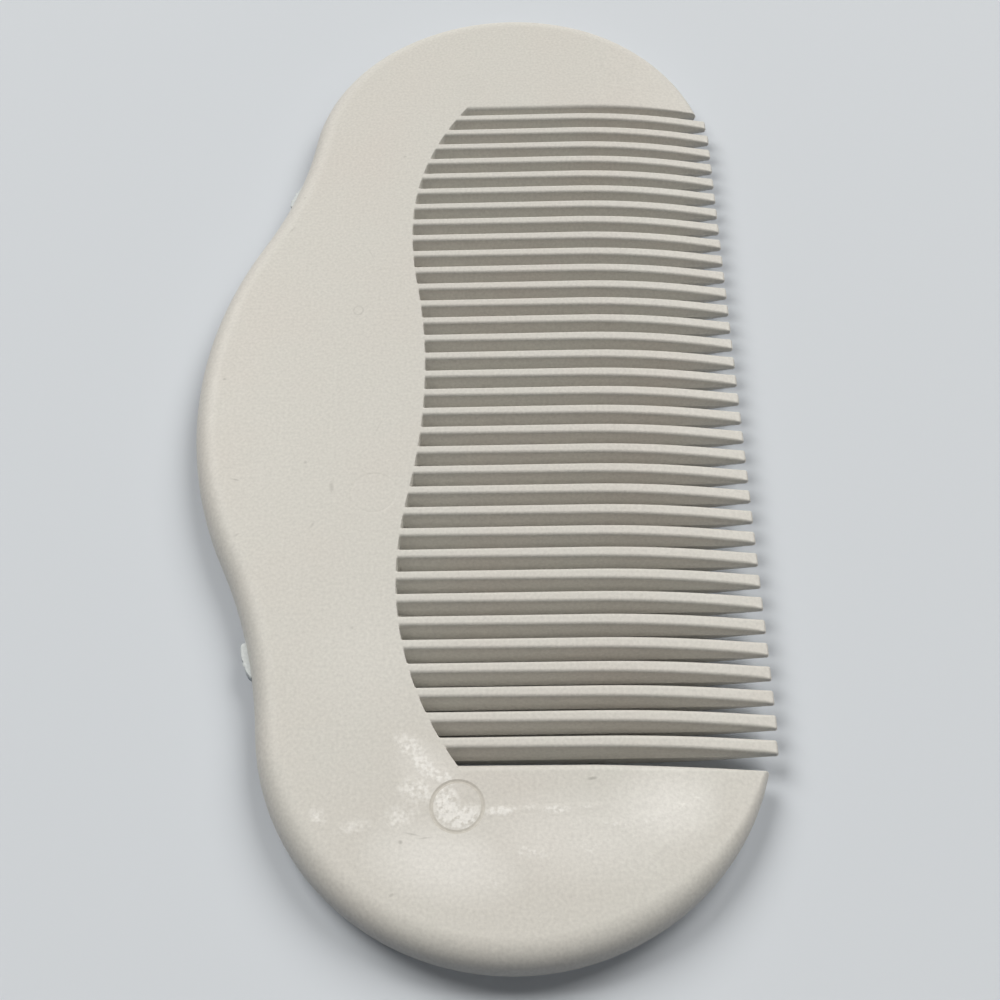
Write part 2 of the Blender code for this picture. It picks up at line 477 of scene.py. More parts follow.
@dataclass(frozen=True)
class GuardTip:
    """A point of the round corner between a guard's face and the lobe's rim.

    Attributes:
        face: The guard's face.
        lobe: Centre of the lobe.
        lobe_radius: Radius of the lobe.
        share: From 0, on the guard's face, to 1, on the rim.
        radius: Radius of the corner.
    """

    face: GuardFace
    lobe: Vector
    lobe_radius: float
    share: float
    radius: float = 0.14

    def at(self, level: int) -> Vector:
        """Place of the point on one ring.

        Args:
            level: Ring, from 0 to INNER_LEVEL.

        Returns:
            Its place about the parting plane.
        """
        section = self.face.section
        reach = self.lobe.x + math.sqrt(self.lobe_radius**2 - (self.face.y - self.lobe.y) ** 2)
        face_y = self.face.edge(level, reach)[0]
        to_centre = self.lobe_radius - section.rim(level, reach)[0] - self.radius
        rise = face_y + self.radius - self.lobe.y
        centre = Vector((self.lobe.x + math.sqrt(to_centre**2 - rise**2), face_y + self.radius))
        last = math.atan2(centre.y - self.lobe.y, centre.x - self.lobe.x)
        turn = blend(-math.pi / 2, last, self.share)
        spot = centre + self.radius * Vector((math.cos(turn), math.sin(turn)))
        heights = self.face.edge(level, spot.x)[1], section.rim(level, spot.x)[1]
        return Vector((spot.x, spot.y, blend(heights[0], heights[1], self.share)))


@dataclass(frozen=True)
class BackPlan:
    """Outline of one half of the back: a lobe, a hollow and half of the bulge.

    Attributes:
        section: Sections of the comb's walls.
        lobe: Centre of the lobe.
        lobe_radius: Radius of the lobe.
        bulge_x: Where the bulge reaches furthest.
        bulge_radius: Radius of the bulge.
        hollow_radius: Radius of the hollow between them.
        lobe_steps: Steps of the lobe's arc.
        hollow_steps: Steps of the hollow's arc.
        bulge_steps: Steps of half of the bulge's arc.
    """

    section: Section
    lobe: Vector
    lobe_radius: float
    bulge_x: float
    bulge_radius: float = 40.6
    hollow_radius: float = 44.2
    lobe_steps: int = 44
    hollow_steps: int = 12
    bulge_steps: int = 14

    @property
    def bulge(self) -> Vector:
        """Centre of the bulge."""
        return Vector((self.bulge_x + self.bulge_radius, 0.0))

    @property
    def hollow(self) -> Vector:
        """Centre of the hollow's arc, which touches the bulge and the lobe from outside.

        Returns:
            Its place.
        """
        between = self.lobe - self.bulge
        to_bulge = self.bulge_radius + self.hollow_radius
        to_lobe = self.lobe_radius + self.hollow_radius
        along = (to_bulge**2 - to_lobe**2 + between.length_squared) / (2 * between.length)
        direction = between.normalized()
        return self.bulge + direction * along + direction.orthogonal() * math.sqrt(to_bulge**2 - along**2)

    def hollow_point(self, share: float) -> tuple[Vector, float]:
        """A point on the hollow's arc.

        Args:
            share: From 0, where it meets the bulge, to 1, where it meets the lobe.

        Returns:
            Its place, and the angle of the direction into the comb.
        """
        to_bulge = bearing(self.hollow, self.bulge)
        to_lobe = bearing(self.hollow, self.lobe)
        angle = blend(to_bulge, to_lobe, share)
        return self.hollow + self.hollow_radius * unit(angle), angle

    def arc(self, centre: Vector, radius: float, start: float, end: float, steps: int) -> list[RimPoint]:
        """Rim points along an arc, without its first.

        Args:
            centre: Centre of the arc.
            radius: Radius, negative where the comb lies outside the arc.
            start: Angle of its first point.
            end: Angle of its last point.
            steps: Number of steps.

        Returns:
            The points in order.
        """
        angles = [blend(start, end, step / steps) for step in range(1, steps + 1)]
        inward = -math.copysign(1.0, radius)
        return [
            RimPoint(self.section, centre + abs(radius) * unit(angle), inward * unit(angle))
            for angle in angles
        ]

    def points(self, start: float) -> list[RingPoint]:
        """Rim points from the guard's tip to the middle of the bulge.

        Args:
            start: Angle on the lobe at which the guard's tip ends.

        Returns:
            The points in order.
        """
        quarter = math.pi / 2
        to_bulge = bearing(self.hollow, self.bulge)
        to_lobe = bearing(self.hollow, self.lobe)
        half = self.lobe_steps // 2
        return [
            *self.arc(self.lobe, self.lobe_radius, start, quarter, half),
            *self.arc(self.lobe, self.lobe_radius, quarter, to_lobe + math.pi, half),
            *self.arc(self.hollow, -self.hollow_radius, to_lobe, to_bulge, self.hollow_steps),
            *self.arc(self.bulge, self.bulge_radius, to_bulge + math.pi, math.pi, self.bulge_steps),
        ]


def unit(angle: float) -> Vector:
    """Plan vector of length one at an angle from +X."""
    return Vector((math.cos(angle), math.sin(angle)))


def bearing(origin: Vector, target: Vector) -> float:
    """Angle from +X of the line between two points of the plan."""
    return math.atan2(target.y - origin.y, target.x - origin.x)


@dataclass(frozen=True)
class ToothRow:
    """One half of the row of teeth, from the slot in the middle of the row to the guard.

    Attributes:
        section: Sections of the comb's walls.
        root: Line of the slots' ends.
        count: Number of teeth on this half.
        pitch: From tooth to tooth.
        guard: Face of the guard.
        end_setback: How far the tip of the outermost tooth stands behind the others.
        tip_margin: From the last step of the thinning stretch to the tips, in half thicknesses of a tip.
        steps: Steps of the thinning stretch.
        corner_steps: Steps of a small corner.
    """

    section: Section
    root: RootLine
    count: int
    pitch: float
    guard: GuardFace
    end_setback: float = 0.15
    tip_margin: float = 3.0
    steps: int = 12
    corner_steps: int = 4

    @property
    def stations(self) -> list[float]:
        """Places across the comb at which the thinning stretch is divided.

        Returns:
            The places, from the back to the tips.
        """
        crown = self.section.crown
        end = crown.tip_x - self.tip_margin * crown.tip_half
        return [blend(crown.start_x, end, step / self.steps) for step in range(self.steps + 1)]

    def middle(self, number: int) -> float:
        """Place of a tooth along the comb; the middle of the row is halfway between two teeth."""
        return self.root.middle + (number + 0.5) * self.pitch

    def flank(self, number: int, side: Side) -> ToothFlank:
        """One flank of a tooth.

        Args:
            number: Number of the tooth, from 0 beside the middle of the row.
            side: Which flank.

        Returns:
            The flank.
        """
        middle = self.middle(number)
        setback = self.end_setback if number == self.count - 1 else 0.0
        return ToothFlank(
            self.section, middle, side, self.root.x(middle), self.section.crown.tip_x - setback
        )

    def turns(self) -> list[float]:
        """Angles of a small corner's points, over a quarter turn."""
        return [math.pi / 2 * step / self.corner_steps for step in range(self.corner_steps + 1)]

    def corner(self, wall: Wall, middle: float, towards: Side) -> list[RingPoint]:
        """Points of the corner between a wall and the end of the slot on one side of it, in order."""
        return [SlotCorner(wall, self.root, self.section, middle, towards, turn) for turn in self.turns()]

    def tooth(self, number: int) -> list[RingPoint]:
        """Points of a tooth's two flanks and its tip, without its slots' corners.

        Args:
            number: Number of the tooth.

        Returns:
            The points in order, up the near flank and back down the far one.
        """
        near, far = self.flank(number, Side.NEAR), self.flank(number, Side.FAR)
        tip = [TipCorner(near, turn) for turn in self.turns()]
        tip += [TipCorner(far, turn) for turn in reversed(self.turns())]
        up = [WallPoint(near, x) for x in self.stations]
        down = [WallPoint(far, x) for x in reversed(self.stations)]
        return [*up, *tip, *down]

    def points(self, guard_reach: float) -> list[RingPoint]:
        """All points from the slot in the middle of the row along the guard's face.

        Args:
            guard_reach: Where the guard's face ends.

        Returns:
            The points in order.
        """
        ring: list[RingPoint] = []
        mirrored = self.corner(self.flank(-1, Side.FAR), self.middle(-1), Side.FAR)
        for number in range(self.count):
            middle = self.middle(number)
            opening = self.corner(self.flank(number, Side.NEAR), middle, Side.NEAR)
            before = ring[-1] if ring else mirrored[-1]
            ring.append(SlotEnd(before, opening[-1], self.root))
            ring += [*reversed(opening), *self.tooth(number)]
            ring += self.corner(self.flank(number, Side.FAR), middle, Side.FAR)
        opening = self.corner(self.guard, self.guard.y, Side.NEAR)
        ring.append(SlotEnd(ring[-1], opening[-1], self.root))
        ring += reversed(opening)
        return ring + [WallPoint(self.guard, x) for x in self.stations if x < guard_reach]


@dataclass(frozen=True)
class PinMark:
    """A round mark that an ejector pin left in the upper face: a flat disc in a fine groove.

    Attributes:
        side: The half of the comb that it is on.
        x: Place of its centre across the comb.
        y: Place of its centre along the comb, in the frame of its half.
        groove: Depth of the groove round it.
        painted_groove_shade: Whether the groove takes the darker finish, painted shade in the recess.
        radius: Radius of the mark.
        wall: Width of each wall of the groove.
        land: Width of the flat strips that keep the shading of both faces even.
        steps: Steps round it.
    """

    side: Side
    x: float
    y: float
    groove: float
    painted_groove_shade: bool = False
    radius: float = 2.15
    wall: float = 0.14
    land: float = 0.03
    steps: int = 72

    def covers(self, place: Vector) -> bool:
        """Whether a place on the upper face lies in the mark."""
        centre = Vector((self.x, self.side.value * self.y))
        return place.z > 0 and (place.xy - centre).length < self.radius / 2

    def sink(self, bm: bmesh.types.BMesh) -> None:
        """Cuts the groove round the disc that lies at the mark's place and sinks the disc.

        Args:
            bm: Mesh of the comb.
        """
        disc = [face for face in bm.faces if self.covers(face.calc_center_median())]
        # A darkened groove takes the darker finish: painted shade in the recess.
        groove_slot = GROOVE_SHADE_SLOT if self.painted_groove_shade else SKIN_SLOT
        steps = (
            (self.land, 0.0, SKIN_SLOT),
            (self.wall, -self.groove, groove_slot),
            (self.land, 0.0, groove_slot),
            (self.wall, self.groove / 2, groove_slot),
            (self.land, 0.0, DISC_SLOT),
        )
        for width, rise, slot in steps:
            rim = bmesh.ops.inset_region(bm, faces=disc, thickness=width, depth=rise, use_even_offset=True)
            for face in rim["faces"]:
                face.material_index = slot
        for face in disc:
            face.material_index = DISC_SLOT


@dataclass(frozen=True)
class HalfMoulding:
    """One half of the comb above the parting plane, in its own frame.

    Attributes:
        row: Its half of the row of teeth.
        back: Its half of the outline.
        marks: The pin marks on it.
        tip_steps: Steps of the corner at the guard's tip.
    """

    row: ToothRow
    back: BackPlan
    marks: tuple[PinMark, ...]
    tip_steps: int = 5

    def ring(self) -> list[RingPoint]:
        """Points of the plan, from the middle slot round to the top of the bulge.

        Returns:
            The points in order.
        """
        back = self.back
        shares = [step / self.tip_steps for step in range(self.tip_steps + 1)]
        tip = [GuardTip(self.row.guard, back.lobe, back.lobe_radius, share) for share in shares]
        inner = min(tip[0].at(level).x for level in range(INNER_LEVEL + 1))
        start = max(bearing(back.lobe, tip[-1].at(level).xy) for level in range(INNER_LEVEL + 1))
        return [*self.row.points(inner - self.row.section.margin), *tip, *back.points(start)]

    def raise_walls(self, bm: bmesh.types.BMesh) -> list[bmesh.types.BMEdge]:
        """Draws the plan at the parting plane, extrudes it ring by ring and closes the last ring.

        Args:
            bm: Mesh to draw in.

        Returns:
            Edges round the upper face, in no order.
        """
        ring = self.ring()
        layers = bm.verts.layers.int
        number = layers.get("ring_point") or layers.new("ring_point")
        chain = [bm.verts.new(point.at(0)) for point in ring]
        for place, vertex in enumerate(chain):
            vertex[number] = place
        edges = [bm.edges.new(pair) for pair in zip(chain, chain[1:])]
        for level in range(1, INNER_LEVEL + 1):
            grown = bmesh.ops.extrude_edge_only(bm, edges=edges)["geom"]
            raised = dict.fromkeys(item for item in grown if isinstance(item, bmesh.types.BMVert))
            edges = [
                item
                for item in grown
                if isinstance(item, bmesh.types.BMEdge) and all(vertex in raised for vertex in item.verts)
            ]
            for vertex in raised:
                vertex.co = ring[vertex[number]].at(level)
        ends = [vertex for vertex in raised if vertex[number] in (0, len(ring) - 1)]
        return [*edges, bm.edges.new(ends)]

    def close_top(self, bm: bmesh.types.BMesh, border: list[bmesh.types.BMEdge]) -> None:
        """Fills the upper face, with a disc at each mark, and bends it to the crown.

        Args:
            bm: Mesh of the walls.
            border: Edges round the upper face.
        """
        crown = self.row.section.crown
        discs = []
        for mark in self.marks:
            place = Matrix.Translation((mark.x, mark.y, crown.half_thickness))
            circle = bmesh.ops.create_circle(
                bm, cap_ends=False, radius=mark.radius, segments=mark.steps, matrix=place
            )["verts"]
            discs.append(list(dict.fromkeys(edge for vertex in circle for edge in vertex.link_edges)))
        filled = bmesh.ops.triangle_fill(
            bm, use_beauty=False, use_dissolve=False, edges=sum(discs, border), normal=(0, 0, 1)
        )["geom"]
        upper = [item for item in filled if isinstance(item, bmesh.types.BMFace)]
        for edges in discs:
            bmesh.ops.edgeloop_fill(bm, edges=edges)
        for x in self.row.stations:
            bounds = dict.fromkeys(edge for face in upper for edge in face.edges)
            corners = dict.fromkeys(vertex for face in upper for vertex in face.verts)
            cut = bmesh.ops.bisect_plane(
                bm, geom=[*upper, *bounds, *corners], dist=WELD, plane_co=(x, 0, 0), plane_no=(1, 0, 0)
            )["geom"]
            upper = [item for item in cut if isinstance(item, bmesh.types.BMFace)]
        for vertex in {vertex for face in upper for vertex in face.verts}:
            vertex.co.z = crown.height(vertex.co.x)

    def draw(self, bm: bmesh.types.BMesh) -> None:
        """Adds the half to a mesh."""
        self.close_top(bm, self.raise_walls(bm))


@dataclass(frozen=True)
class Moulding:
    """The comb itself: its back, its two guards and its teeth in one closed skin.

    Attributes:
        near: The near half.
        far: The far half.
        crease: Angle past which an edge stays sharp.
    """

    near: HalfMoulding
    far: HalfMoulding
    crease: float = math.radians(38.0)

    def build(self) -> bpy.types.Object:
        """Joins the two halves and mirrors them through the parting plane.

        Returns:
            The finished object.
        """
        bm = bmesh.new()
        self.near.draw(bm)
        bmesh.ops.scale(bm, verts=bm.verts, vec=(1, Side.NEAR.value, 1))
        self.far.draw(bm)
        bmesh.ops.remove_doubles(bm, verts=bm.verts, dist=WELD)
        whole = [*bm.verts, *bm.edges, *bm.faces]
        bmesh.ops.mirror(bm, geom=whole, matrix=Matrix(), merge_dist=WELD, axis="Z")
        bmesh.ops.recalc_face_normals(bm, faces=bm.faces)
        for mark in (*self.near.marks, *self.far.marks):
            mark.sink(bm)
        return finished(bm, "comb_moulding", self.far.row.section.crown.half_thickness, self.crease)


@dataclass(frozen=True)
class GateStub:
    """A stub of plastic left in a hollow where the gate was torn off.

    Attributes:
        plan: Outline of the back, which the stub stands on.
        side: The end of the comb that it is at.
        proud: How far its half beside the bulge stands out.
        step: How much less its half beside the lobe does.
        place: Where it is along the hollow, from the bulge to the lobe.
        fade: Stretch beside the lobe over which it falls back to the rim, as a share of its width.
        blunt: Stretch beside the bulge over which its corner is worn, as a share of its width.
        width: Its size along the rim.
        height: Its thickness.
        root: How deep it is set into the rim.
        ledge: Where the step lies, as a share of its width from the bulge.
        fall: How far it falls back beside the lobe, as a share of how far it stands out.
        wear: How far its worn corner stands back, as the same share.
        roughness: Largest shift of its torn edge.
        grain: Size of the steps of that edge.
        apart: Distance between the two stubs in the noise that gives those steps.
        cuts: Cuts along its torn edge, and across its thickness.
        edge: Rounding of its edges.
        edge_steps: Steps of that rounding.
        bevel_angle: Angle past which an edge is rounded.
        crease: Angle past which an edge stays sharp.
    """

    plan: BackPlan
    side: Side
    proud: float
    step: float
    place: float
    fade: float
    blunt: float
    width: float = 3.3
    height: float = 0.80
    root: float = 1.2
    ledge: float = 0.52
    fall: float = 0.6
    wear: float = 0.4
    roughness: float = 0.08
    grain: float = 0.7
    apart: float = 14.0
    cuts: tuple[int, int] = (11, 3)
    edge: float = 0.12
    edge_steps: int = 3
    bevel_angle: float = math.radians(50.0)
    crease: float = math.radians(60.0)

    def setback(self, place: Vector) -> float:
        """How far the torn edge stands back from its furthest reach.

        Args:
            place: Place on the block that the stub is cut from.

        Returns:
            The distance there.
        """
        along = 0.5 + self.side.value * place.y / self.width
        ragged = noise.noise(place / self.grain + Vector((0, 0, self.apart / 2 * self.side.value)))
        fallen = self.fall * max((along - 1 + self.fade) / self.fade, 0.0) ** 2
        worn = self.wear * max(1 - along / self.blunt, 0.0)
        return self.step * (along > self.ledge) + self.proud * (fallen + worn) + self.roughness * ragged

    def build(self) -> bpy.types.Object:
        """Shapes the stub from a block and sets it square to the rim.

        Returns:
            The finished object.
        """
        bm = bmesh.new()
        bmesh.ops.create_cube(bm, size=1)
        bmesh.ops.scale(bm, verts=bm.verts, vec=(self.root + self.proud, self.width, self.height))
        for axis, cuts in zip("yz", self.cuts):
            along = [
                edge for edge in bm.edges if abs(getattr(edge.verts[0].co - edge.verts[1].co, axis)) > WELD
            ]
            bmesh.ops.subdivide_edges(bm, edges=along, cuts=cuts, use_grid_fill=True)
        spot, angle = self.plan.hollow_point(self.place)
        for vertex in bm.verts:
            if vertex.co.x < 0:
                vertex.co.x += self.setback(vertex.co)
        bmesh.ops.bevel(
            bm,
            geom=[edge for edge in bm.edges if edge.calc_face_angle(0.0) > self.bevel_angle],
            offset=self.edge,
            offset_type="OFFSET",
            segments=self.edge_steps,
            profile=0.5,
            affect="EDGES",
            material=-1,
        )
        bmesh.ops.rotate(bm, verts=bm.verts, matrix=Matrix.Rotation(self.side.value * angle, 3, "Z"))
        on_rim = Vector((spot.x, self.side.value * spot.y))
        inward = unit(self.side.value * angle)
        centre = on_rim + inward * (self.root - self.proud) / 2
        bmesh.ops.translate(bm, verts=bm.verts, vec=(centre.x, centre.y, 0))
        bmesh.ops.recalc_face_normals(bm, faces=bm.faces)
        half = self.plan.section.crown.half_thickness
        return finished(bm, f"gate_stub_{self.side.name.lower()}", half, self.crease)


def finished(bm: bmesh.types.BMesh, name: str, lift: float, crease: float) -> bpy.types.Object:
    """Scales a mesh to metres, stands it on the floor and makes it an object at the origin.

    Args:
        bm: The mesh, in millimetres about the parting plane. It is freed.
        name: Name of the object.
        lift: Height of the parting plane over the floor, in millimetres.
        crease: Angle past which an edge stays sharp.

    Returns:
        The object.
    """
    bmesh.ops.translate(bm, verts=bm.verts, vec=(0, 0, lift))
    bmesh.ops.scale(bm, verts=bm.verts, vec=(METRES, METRES, METRES))
    for face in bm.faces:
        face.smooth = True
    mesh = bpy.data.meshes.new(name)
    bm.to_mesh(mesh)
    bm.free()
    mesh.set_sharp_from_angle(angle=crease)
    return in_scene(name, mesh)


def in_scene(name: str, data: bpy.types.ID) -> bpy.types.Object:
    """Makes an object of a mesh, a lamp or a camera and links it to the scene.

    Args:
        name: Name of the object.
        data: What it shows.

    Returns:
        The object.
    """
    obj = bpy.data.objects.new(name, data)
    bpy.context.scene.collection.objects.link(obj)
    return obj


# Finishes.


@dataclass(frozen=True)
class Patch:
    """An oval place on the upper face, or an oval ring round it.

    Attributes:
        x: Place of its middle across the comb.
        y: Place of its middle along the comb.
        length: Half its length.
        width: Half its width.
        turn: Angle of its length from +X, in degrees.
        strength: How strongly it shows.
        core: Share of it that shows in full, inside its soft edge.
        ring: Whether only a ring near its edge shows.
    """

    x: float
    y: float
    length: float
    width: float
    turn: float = 0.0
    strength: float = 1.0
    core: float = 0.2
    ring: bool = False


# Flow marks round the near pin mark and along the near lobe, where the melt met the mould's wall; they
# ripple the relief and lower the roughness, and the tint lays broken pale flecks on them, painted glints
# that stand in for highlights.
FLOW_MARKS_AND_GLINTS = (
    Patch(-3.7, -34.9, 2.2, 1.2, -40.0, 0.72, core=0.4),
    Patch(-2.7, -36.3, 2.0, 1.0, -42.0, 0.95, core=0.4),
    Patch(-1.3, -37.2, 1.6, 0.8, -38.0, 0.90, core=0.4),
    Patch(-3.2, -38.2, 1.9, 1.4, -20.0, 0.72, core=0.4),
    Patch(-4.3, -40.3, 1.9, 1.4, 20.0, 0.60, core=0.3),
    Patch(-10.6, -40.2, 1.1, 0.8, -50.0, 0.62),
    Patch(-7.8, -41.0, 1.8, 0.7, 10.0, 0.60),
    Patch(-0.95, -39.50, 1.25, 2.05, 0.0, 1.4, core=0.3),
    Patch(0.30, -40.35, 1.85, 1.15, 20.0, 1.4, core=0.3),
    Patch(3.2, -39.9, 1.7, 0.50, 2.0, 1.0, core=0.4),
    Patch(5.4, -39.7, 1.1, 0.40, 4.0, 0.70),
    Patch(7.3, -39.8, 1.6, 0.50, 0.0, 0.90, core=0.4),
    Patch(9.6, -39.6, 1.5, 0.35, 6.0, 0.65),
    Patch(11.7, -40.9, 2.2, 0.45, -5.0, 0.68),
    Patch(14.6, -40.5, 1.8, 0.45, 24.0, 0.72),
    Patch(16.7, -39.6, 1.6, 0.50, 26.0, 0.80, core=0.3),
    Patch(17.8, -38.7, 1.4, 1.1, 30.0, 0.75, core=0.3),
    Patch(1.3, -43.4, 2.2, 1.2, 25.0, 0.58),
    Patch(5.6, -43.0, 2.4, 1.1, -8.0, 0.60),
    Patch(9.8, -42.7, 2.2, 1.0, 12.0, 0.60),
    Patch(2.5, -45.4, 1.4, 0.9, 0.0, 0.50),
)

# Broad places that took up more of the mould's gloss; they lower the roughness, and the tint also lays them
# paler into the colour, a painted sheen.
GLOSSY_AND_SHEEN_PLACES = (
    Patch(16.0, -39.6, 7.5, 3.8, 14.0, 1.00, core=0.3),
    Patch(9.0, -41.9, 9.5, 4.2, 0.0, 0.62, core=0.3),
    Patch(-1.0, -43.6, 7.0, 3.6, -10.0, 1.00, core=0.3),
    Patch(-2.4, -36.6, 3.8, 2.2, -42.0, 0.60, core=0.2),
    Patch(-7.5, -27.0, 7.0, 7.0, 0.0, 0.20, core=0.1),
)

# Scratches and specks from use, seen as short grey marks.
WEAR_MARKS = (
    Patch(-11.6, -10.9, 0.25, 0.75, 8.0, 0.30),
    Patch(-13.0, -14.7, 0.15, 0.50, -25.0, 0.25),
    Patch(-10.4, 8.9, 0.55, 0.65, 0.0, 0.20, ring=True),
    Patch(-22.3, 1.0, 0.22, 0.16, 0.0, 0.45),
    Patch(-20.1, -10.0, 0.45, 0.12, -15.0, 0.40),
    Patch(-14.1, -8.3, 0.25, 0.20, 0.0, 0.30),
    Patch(-19.4, -15.6, 0.30, 0.14, 40.0, 0.30),
    Patch(-17.6, 19.4, 0.55, 0.14, 60.0, 0.25),
    Patch(-16.7, 23.8, 0.20, 0.20, 0.0, 0.30),
    Patch(-9.0, -24.5, 0.25, 0.18, 0.0, 0.25),
    Patch(-6.8, 29.3, 0.25, 0.20, 0.0, 0.25),
    Patch(10.1, -37.4, 0.50, 0.17, 8.0, 0.60),
    Patch(-4.3, -42.2, 0.22, 0.20, 0.0, 0.50),
    Patch(-4.8, -46.1, 0.30, 0.14, 30.0, 0.30),
    Patch(-3.5, -41.6, 0.70, 0.10, -12.0, 0.35),
    Patch(-2.5, -41.9, 0.60, 0.09, 6.0, 0.30),
    Patch(-7.9, -4.8, 0.9, 0.10, 70.0, 0.15),
    Patch(-9.6, 16.1, 1.1, 0.09, -65.0, 0.15),
)


class Socket(Enum):
    """Kinds of sockets of a shared effect."""

    VALUE = "NodeSocketFloat"
    COLOUR = "NodeSocketColor"


# Of a Mix node, by what it mixes: its data type, the sockets of its share and its two inputs, its output.
MIX_NODES = {Socket.VALUE: ("FLOAT", (0, 2, 3), 0), Socket.COLOUR: ("RGBA", (0, 6, 7), 2)}
NOISE_MEAN = 0.5  # of a noise texture's value

Wire = bpy.types.NodeSocket  # one end of a link


class Texture(Enum):
    """Noises of the finish: features to a metre, and levels of detail."""

    GRAIN = (4200.0, 2.0)
    SWELLS = (60.0, 1.0)
    WAVES = (260.0, 2.0)
    RIPPLES = (2400.0, 1.0)
    UNEVEN = (700.0, 3.0)
    CLOUDS = (90.0, 4.0)
    BROKEN = (3000.0, 3.0)
    MOTTLING = (3600.0, 2.0)


class NodeBoard:
    """Adds nodes and links to one node tree."""

    def __init__(self, tree: bpy.types.NodeTree) -> None:
        """Takes the tree to add to."""
        self.tree = tree

    def add(self, kind: str, inputs: dict | None = None, **settings: object) -> bpy.types.Node:
        """Adds a node.

        Args:
            kind: Blender's name of the node's type, without its ShaderNode prefix.
            inputs: Values of its sockets, or the sockets that feed them.
            **settings: The node's own settings.

        Returns:
            The node.
        """
        node = self.tree.nodes.new("ShaderNode" + kind)
        for name, value in settings.items():
            setattr(node, name, value)
        for name, value in (inputs or {}).items():
            if isinstance(value, Wire):
                self.tree.links.new(value, node.inputs[name])
            else:
                node.inputs[name].default_value = value
        return node

    def ramp(self, value: Wire, low: float, high: float) -> Wire:
        """Maps low to 0 and high to 1, and holds the result between them."""
        node = self.add("MapRange", {"Value": value, "From Min": low, "From Max": high}, clamp=True)
        return node.outputs["Result"]

    def math(self, operation: str, first: object, second: object = 0.0) -> Wire:
        """Adds a Math node with two inputs and returns its output."""
        return self.add("Math", {0: first, 1: second}, operation=operation).outputs[0]

    def times(self, first: object, second: object) -> Wire:
        """Multiplies two values."""
        return self.math("MULTIPLY", first, second)

    def noise(self, place: Wire, texture: Texture) -> Wire:
        """Adds a noise texture and returns its value."""
        scale, detail = texture.value
        return self.add("TexNoise", {"Vector": place, "Scale": scale, "Detail": detail}).outputs["Fac"]

    def mix(self, kind: Socket, *inputs: object, blend: str = "MIX") -> Wire:
        """Adds a Mix node.

        Args:
            kind: What it mixes.
            *inputs: The share of the second input, and the two inputs.
            blend: Blender's name of the way in which it mixes colours.

        Returns:
            Its output.
        """
        data_type, sockets, output = MIX_NODES[kind]
        node = self.add("Mix", dict(zip(sockets, inputs)), data_type=data_type, blend_type=blend)
        return node.outputs[output]

    def patches(self, place: Wire, patches: tuple[Patch, ...]) -> Wire:
        """Adds a mask that shows where the patches lie.

        Args:
            place: Socket with the place on the comb.
            patches: The patches.

        Returns:
            The mask, 0 outside the patches and up to each one's strength inside.
        """
        whole: Wire | float = 0.0
        for patch in patches:
            centre = Vector((patch.x, patch.y, FACE_HEIGHT)) * METRES
            reach = Vector((patch.length, patch.width, PATCH_DEPTH)) * METRES
            turn = (0.0, 0.0, math.radians(patch.turn))
            inside = self.add(
                "Mapping",
                {"Vector": place, "Location": centre, "Rotation": turn, "Scale": reach},
                vector_type="TEXTURE",
            )
            away = self.add("VectorMath", {0: inside.outputs[0]}, operation="LENGTH").outputs["Value"]
            if patch.ring:
                off_line = self.math("ABSOLUTE", self.math("SUBTRACT", away, RING_LINE))
                away = self.math("DIVIDE", off_line, 1 - RING_LINE)
            mask = self.times(self.ramp(away, 1.0, patch.core), patch.strength)
            whole = self.math("MAXIMUM", mask, whole)
        return whole


class EffectGroup:
    """A shader node group with named inputs and outputs, filled by a subclass."""

    name = "effect"
    inputs: dict[str, tuple[Socket, object]] = {}
    outputs: dict[str, Socket] = {}

    def __init__(self) -> None:
        """Builds the group once."""
        self.tree = bpy.data.node_groups.new(self.name, "ShaderNodeTree")
        for name, (kind, value) in self.inputs.items():
            socket = self.tree.interface.new_socket(name, in_out="INPUT", socket_type=kind.value)
            socket.default_value = value
        for name, kind in self.outputs.items():
            self.tree.interface.new_socket(name, in_out="OUTPUT", socket_type=kind.value)
        given = self.tree.nodes.new("NodeGroupInput")
        result = self.tree.nodes.new("NodeGroupOutput")
        board = NodeBoard(self.tree)
        for name, socket in self.fill(board, given).items():
            self.tree.links.new(socket, result.inputs[name])

    def fill(self, board: NodeBoard, given: bpy.types.Node) -> dict[str, Wire]:
        """Adds the group's nodes.

        Args:
            board: Board of the group's tree.
            given: The group's input node.

        Returns:
            The socket that feeds each output.
        """
        raise NotImplementedError

    def place(self, board: NodeBoard, **values: object) -> bpy.types.Node:
        """Puts the group in a material.

        Args:
            board: Board of the material's tree.
            **values: Values of the group's inputs.

        Returns:
            The group's node.
        """
        node = board.add("Group", node_tree=self.tree)
        for name, value in values.items():
            node.inputs[name].default_value = value
        return node


class MouldGrain(EffectGroup):
    """The fine grain of a blasted mould, slow waves of cooled plastic, and ripples in the flow marks."""

    name = "mould_grain"
    inputs = {
        "Grain": (Socket.VALUE, 1.0),
        "Waves": (Socket.VALUE, 1.0),
        "Ripples": (Socket.VALUE, 1.0),
    }
    outputs = {"Height": Socket.VALUE}
    swell_height = 4.0  # height of the slowest waves against the finer ones
    ripple_height = 4.0  # height of the ripples against the grain

    def fill(self, board: NodeBoard, given: bpy.types.Node) -> dict[str, Wire]:
        """Adds a fine noise, two slow ones and the ripples.

        Args:
            board: Board of the group's tree.
            given: The group's input node.

        Returns:
            The socket that feeds each output.
        """
        place = board.add("TexCoord").outputs["Object"]
        grain = board.times(board.noise(place, Texture.GRAIN), given.outputs["Grain"])
        swells = board.times(board.noise(place, Texture.SWELLS), self.swell_height)
        both = board.math("ADD", board.noise(place, Texture.WAVES), swells)
        waves = board.times(both, given.outputs["Waves"])
        marks = board.times(board.patches(place, FLOW_MARKS_AND_GLINTS), given.outputs["Ripples"])
        ripples = board.times(board.noise(place, Texture.RIPPLES), board.times(marks, self.ripple_height))
        return {"Height": board.math("ADD", board.math("ADD", grain, waves), ripples)}


